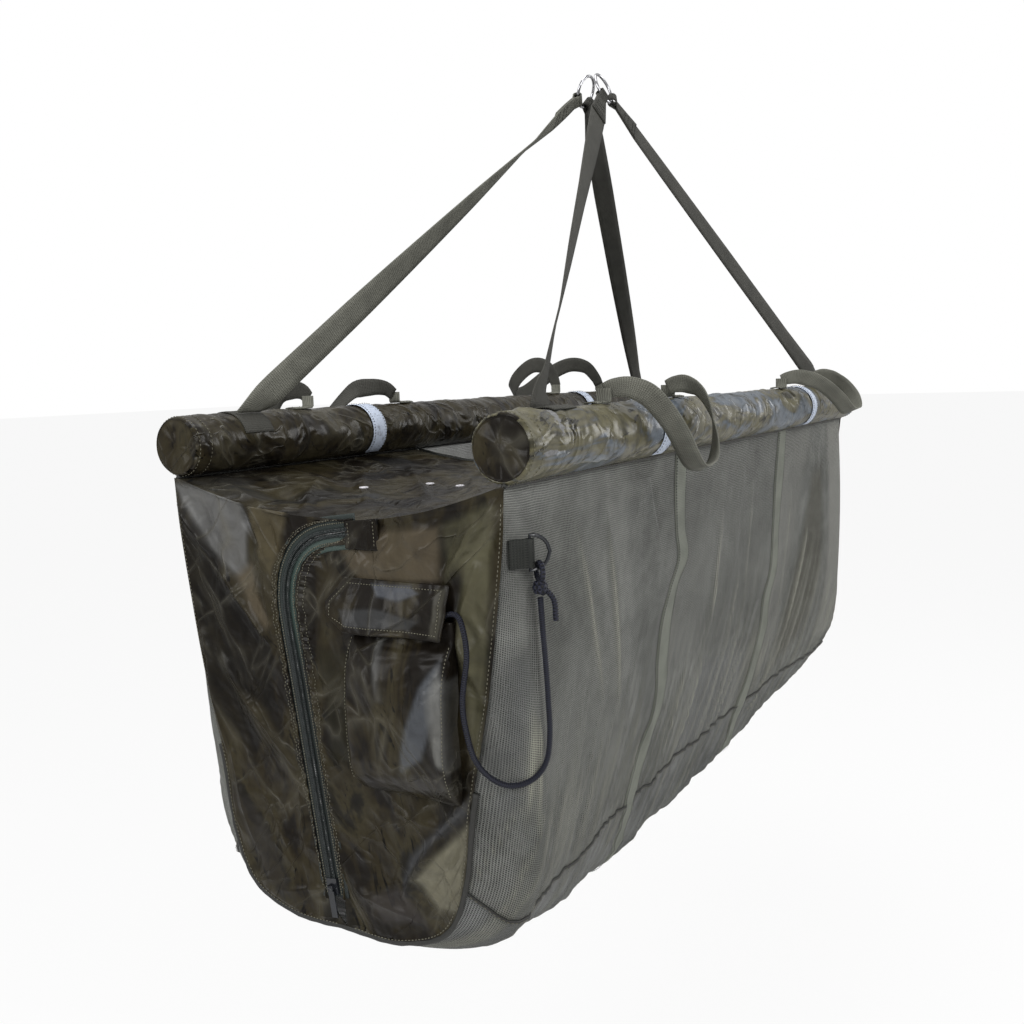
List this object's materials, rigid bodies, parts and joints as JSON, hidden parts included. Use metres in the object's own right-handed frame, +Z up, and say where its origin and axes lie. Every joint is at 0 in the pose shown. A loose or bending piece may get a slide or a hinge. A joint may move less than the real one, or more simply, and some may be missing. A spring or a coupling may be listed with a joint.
{
  "type": "weigh sling",
  "caption": "Floating fish weigh sling: net bag with a zipped cloth end, pocket and cord, hung from buoyant tubes by webbing straps gathered to rings",
  "frame": {"origin": "the point under the two rings' top wires where a scale's hook carries them", "axes": "+X along the float tubes, from the zipped end to the plain end; +Z up; -Y is the near side"},
  "size_m": [1.2339, 0.5855, 1.043],
  "materials": {
    "coated_cloth": null,
    "dark_cloth": "darker coated cloth discs that close the tube ends",
    "net": "soft fine square net, olive-grey, see-through",
    "webbing": "woven olive-grey strapping, matte",
    "reflective_tape": "silver-grey reflective tape",
    "foam": "closed-cell foam",
    "steel": "polished round wire",
    "black_metal": "black lacquered die-cast",
    "zip_cloth": "dark green woven zip tape",
    "coil_plastic": "dark nylon coil",
    "cord_yarn": "dark blue-black braided cord"
  },
  "bodies": {
    "bag": {"cord_hank": "cord_yarn", "d_ring_tab": "webbing", "end_panel_plain": "coated_cloth", "end_panel_zip_far": "coated_cloth", "end_panel_zip_near": "coated_cloth", "float_cap_plain_end_far": "dark_cloth", "float_cap_plain_end_near": "dark_cloth", "float_cap_zip_end_far": "dark_cloth", "float_cap_zip_end_near": "dark_cloth", "float_sleeve_far": "coated_cloth", "float_sleeve_near": "coated_cloth", "foam_core_far": "foam", "foam_core_near": "foam", "handle_anchor_plain_end_far_inner": "webbing", "handle_anchor_plain_end_far_outer": "webbing", "handle_anchor_plain_end_near_inner": "webbing", "handle_anchor_plain_end_near_outer": "webbing", "handle_anchor_zip_end_far_inner": "webbing", "handle_anchor_zip_end_far_outer": "webbing", "handle_anchor_zip_end_near_inner": "webbing", "handle_anchor_zip_end_near_outer": "webbing", "hood_hem_plain_end": "webbing", "hood_hem_zip_end": "webbing", "hood_plain_end": "coated_cloth", "hood_zip_end": "coated_cloth", "mesh_bottom": "net", "mesh_wall_far": "net", "mesh_wall_near": "net", "pocket_body": "coated_cloth", "reflective_band_plain_end_far": "reflective_tape", "reflective_band_plain_end_near": "reflective_tape", "reflective_band_zip_end_far": "reflective_tape", "reflective_band_zip_end_near": "reflective_tape", "retention_cord": "cord_yarn", "strap_anchor_plain_end_far": "webbing", "strap_anchor_plain_end_near": "webbing", "strap_anchor_zip_end_far": "webbing", "strap_anchor_zip_end_near": "webbing", "webbing_tape_plain_end": "webbing", "webbing_tape_zip_end": "webbing", "zip_coil_far": "coil_plastic", "zip_coil_near": "coil_plastic", "zip_tape_far": "zip_cloth", "zip_tape_near": "zip_cloth"},
    "strap_pair_near": {"suspension_strap_plain_end_near": "webbing", "suspension_strap_zip_end_near": "webbing"},
    "strap_pair_far": {"suspension_strap_plain_end_far": "webbing", "suspension_strap_zip_end_far": "webbing"},
    "ring_near": {"hang_ring_near": "steel"},
    "ring_far": {"hang_ring_far": "steel"},
    "handle_zip_end_near": {"carry_handle_zip_end_near": "webbing"},
    "handle_zip_end_far": {"carry_handle_zip_end_far": "webbing"},
    "handle_plain_end_near": {"carry_handle_plain_end_near": "webbing"},
    "handle_plain_end_far": {"carry_handle_plain_end_far": "webbing"},
    "flap": {"pocket_flap": "coated_cloth"},
    "slider": {"zip_slider": "black_metal"},
    "pull": {"zip_pull": "black_metal"},
    "cord_ring": {"d_ring": "black_metal", "cord_knot": "cord_yarn"}
  },
  "joints": [
    {"name": "strap_pair_near_hinge", "type": "hinge", "parent": "bag", "child": "strap_pair_near", "pos_m": [0, -0.17576, -0.42646], "axis": [1, 0, 0], "range_deg": [0, 80]},
    {"name": "hang_ring_near_swing", "type": "hinge", "parent": "strap_pair_near", "child": "ring_near", "pos_m": [0, -0.01818, -0.02875], "axis": [1, 0, 0], "range_deg": [0, 14]},
    {"name": "strap_pair_far_hinge", "type": "hinge", "parent": "bag", "child": "strap_pair_far", "pos_m": [0, 0.17576, -0.42646], "axis": [-1, 0, 0], "range_deg": [0, 80]},
    {"name": "hang_ring_far_swing", "type": "hinge", "parent": "strap_pair_far", "child": "ring_far", "pos_m": [0, 0.01804, -0.02838], "axis": [-1, 0, 0], "range_deg": [0, 14]},
    {"name": "handle_zip_end_near_hinge", "type": "hinge", "parent": "bag", "child": "handle_zip_end_near", "pos_m": [-0.312, -0.19, -0.4151], "axis": [-1, 0, 0], "range_deg": [0, 120]},
    {"name": "handle_zip_end_far_hinge", "type": "hinge", "parent": "bag", "child": "handle_zip_end_far", "pos_m": [-0.312, 0.19, -0.4151], "axis": [1, 0, 0], "range_deg": [0, 120]},
    {"name": "handle_plain_end_near_hinge", "type": "hinge", "parent": "bag", "child": "handle_plain_end_near", "pos_m": [0.312, -0.19, -0.4151], "axis": [-1, 0, 0], "range_deg": [0, 120]},
    {"name": "handle_plain_end_far_hinge", "type": "hinge", "parent": "bag", "child": "handle_plain_end_far", "pos_m": [0.312, 0.19, -0.4151], "axis": [1, 0, 0], "range_deg": [0, 120]},
    {"name": "pocket_flap_hinge", "type": "hinge", "parent": "bag", "child": "flap", "pos_m": [-0.6029, -0.07, -0.5755], "axis": [0, 1, 0], "range_deg": [0, 150]},
    {"name": "zip_slide", "type": "slide", "parent": "bag", "child": "slider", "axis": [0, 0.1424, 0.9898], "range_m": [0, 0.25]},
    {"name": "zip_pull_hinge", "type": "hinge", "parent": "slider", "child": "pull", "pos_m": [-0.6064, 0.01371, -0.88317], "axis": [0, 0.9898, -0.1424], "range_deg": [0, 170]},
    {"name": "cord_ring_swivel", "type": "hinge", "parent": "bag", "child": "cord_ring", "pos_m": [-0.578, -0.2028, -0.547], "axis": [0, 0, 1], "range_deg": [-15, 15]}
  ]
}
